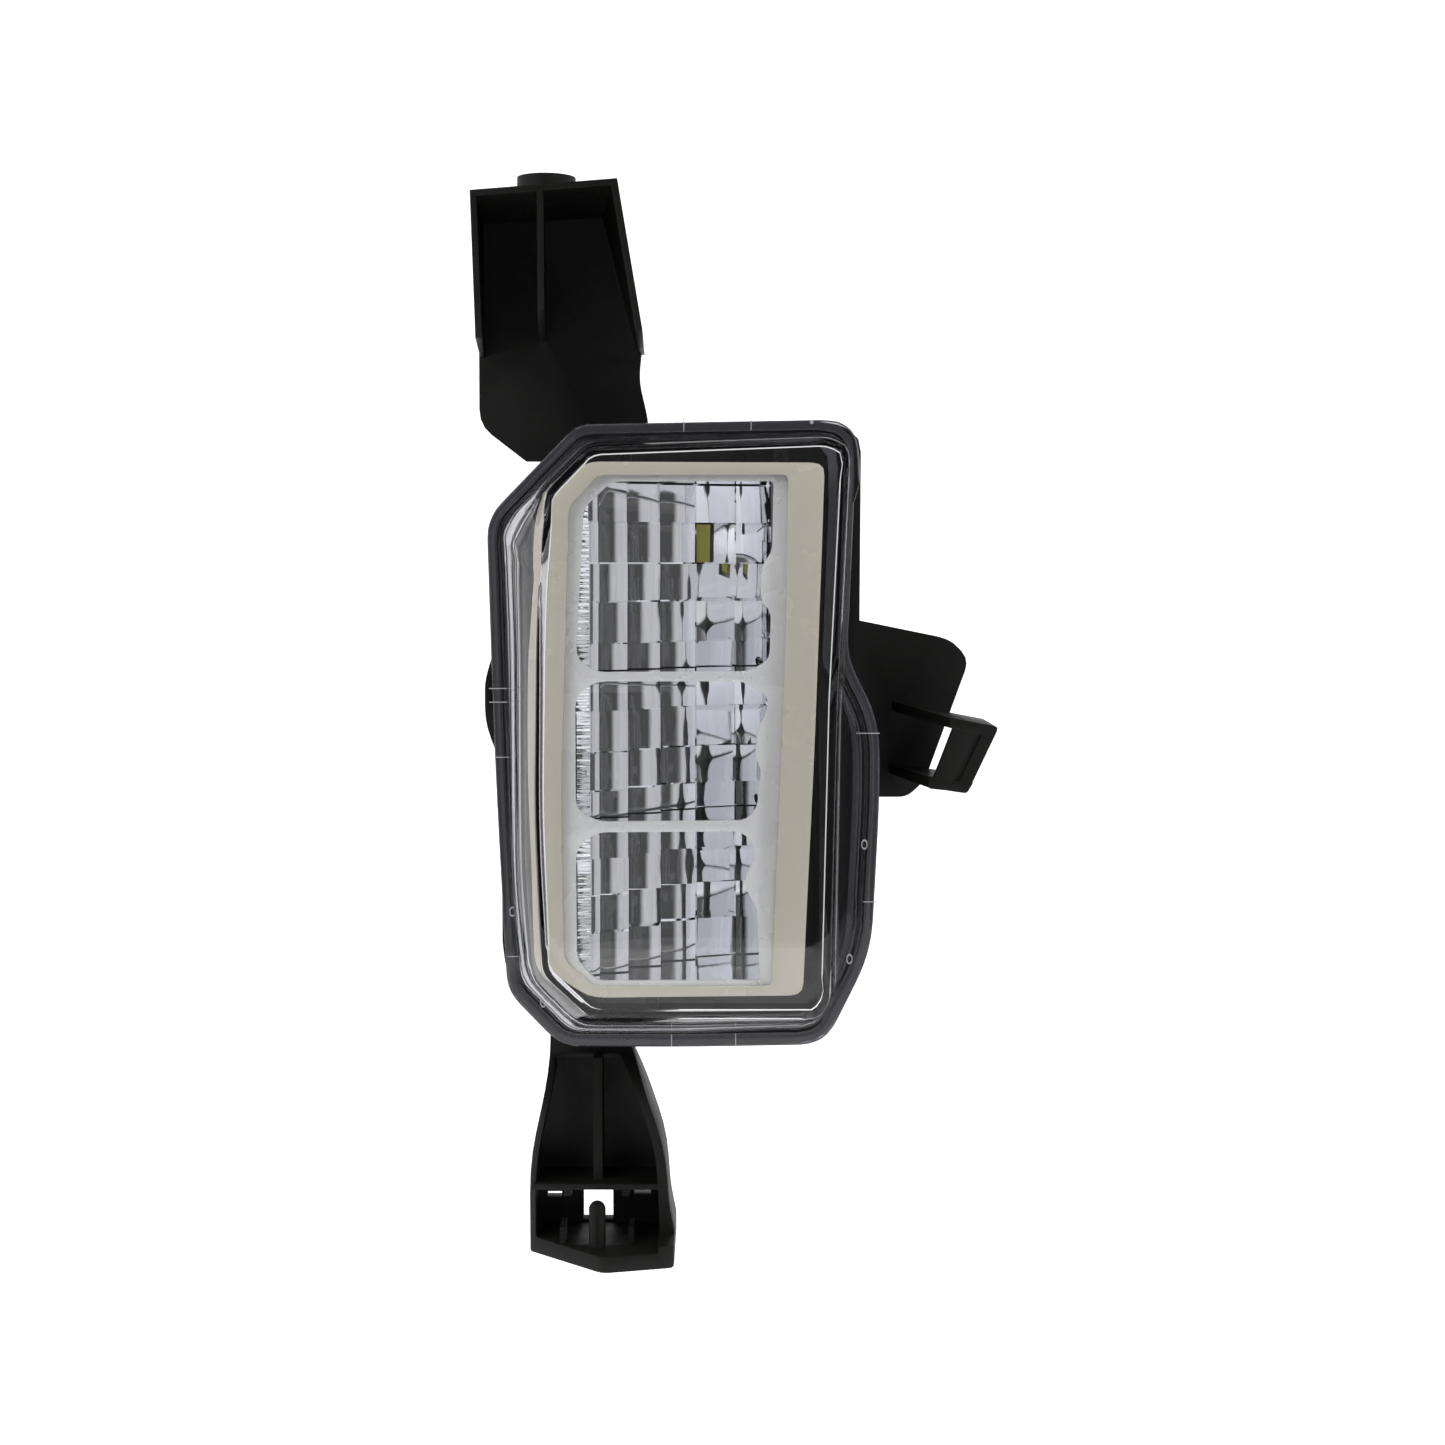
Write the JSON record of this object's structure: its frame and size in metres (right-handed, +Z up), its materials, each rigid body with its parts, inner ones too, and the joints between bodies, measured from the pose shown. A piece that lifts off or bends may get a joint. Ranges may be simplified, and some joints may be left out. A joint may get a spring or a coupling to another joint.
{
  "type": "fog light",
  "caption": "Vertical LED fog light with stacked mirror cells behind a clear raised lens, tilting in a black mounting bracket that has an upper channel arm, a side clip arm and a lower foot.",
  "frame": {"origin": "centre of the top face of the round pad on the upper arm", "axes": "+Z up along the lamp's height, +X to the right seen from in front, the lens faces -Y"},
  "size_m": [0.1291, 0.0844, 0.2639],
  "materials": {
    "black_plastic": "fine textured moulding",
    "housing_plastic": "satin moulding",
    "clear_lens": "clear polycarbonate with a hard coat, faint violet at the edges",
    "seal_rubber": "matt",
    "pearl_trim": "pearl metallised",
    "grey_trim": "metallised satin grey",
    "mirror_coat": "vacuum metallised mirror",
    "led_phosphor": "yellow phosphor on white ceramic",
    "led_board_white": "white solder resist",
    "thermal_pad_grey": "soft pad",
    "aluminium": "die cast, bead blasted",
    "board_green": "green solder resist",
    "ferrite": "sintered",
    "chip_black": "moulded package",
    "terminal_brass": "tin-flashed",
    "lead_red": "insulated lead",
    "lead_black": "insulated lead",
    "membrane_white": "expanded film",
    "white_acetal": "slick moulding",
    "zinc_steel": "zinc plated",
    "black_steel": "black oxide"
  },
  "bodies": {
    "bracket": {"mounting_bracket": "black_plastic", "pivot_bush_left": "white_acetal", "pivot_bush_right": "white_acetal"},
    "lamp": {"housing": "housing_plastic", "lens": "clear_lens", "lens_seal": "seal_rubber", "bezel": "pearl_trim", "inner_frame": "grey_trim", "reflector": "mirror_coat", "led_upper": "led_phosphor", "led_middle": "led_phosphor", "led_lower": "led_phosphor", "led_board": "led_board_white", "thermal_pad": "thermal_pad_grey", "heat_sink": "aluminium", "heat_sink_gasket": "seal_rubber", "driver_board": "board_green", "driver_coil": "ferrite", "driver_capacitor": "aluminium", "driver_chip": "chip_black", "connector_socket": "housing_plastic", "connector_seal": "seal_rubber", "terminal_left": "terminal_brass", "terminal_right": "terminal_brass", "lead_positive": "lead_red", "lead_negative": "lead_black", "vent_cap": "seal_rubber", "vent_membrane": "membrane_white", "aim_nut": "white_acetal", "heat_sink_screw_1": "zinc_steel", "heat_sink_screw_2": "zinc_steel", "heat_sink_screw_3": "zinc_steel", "heat_sink_screw_4": "zinc_steel", "led_board_screw_1": "zinc_steel", "led_board_screw_2": "zinc_steel", "bezel_screw_1": "black_steel", "bezel_screw_2": "black_steel", "bezel_screw_3": "black_steel", "reflector_screw_1": "black_steel", "reflector_screw_2": "black_steel", "reflector_screw_3": "black_steel", "driver_screw_1": "zinc_steel", "driver_screw_2": "zinc_steel", "connector_screw_1": "zinc_steel", "connector_screw_2": "zinc_steel"},
    "aiming_screw": {"aim_screw": "zinc_steel", "aim_screw_retainer": "zinc_steel"}
  },
  "joints": [
    {"name": "aim_tilt", "type": "hinge", "parent": "bracket", "child": "lamp", "pos_m": [0.0316, 0.0169, -0.1238], "axis": [1, 0, 0], "range_deg": [-2.5, 2.5]},
    {"name": "aim_turn", "type": "hinge", "parent": "bracket", "child": "aiming_screw", "pos_m": [0.0446, 0.0169, -0.2081], "axis": [0, 1, 0], "range_deg": [-531, 531]}
  ],
  "couplings": [
    {"joint": "aim_turn", "follows": "aim_tilt", "ratio": -211.87}
  ]
}
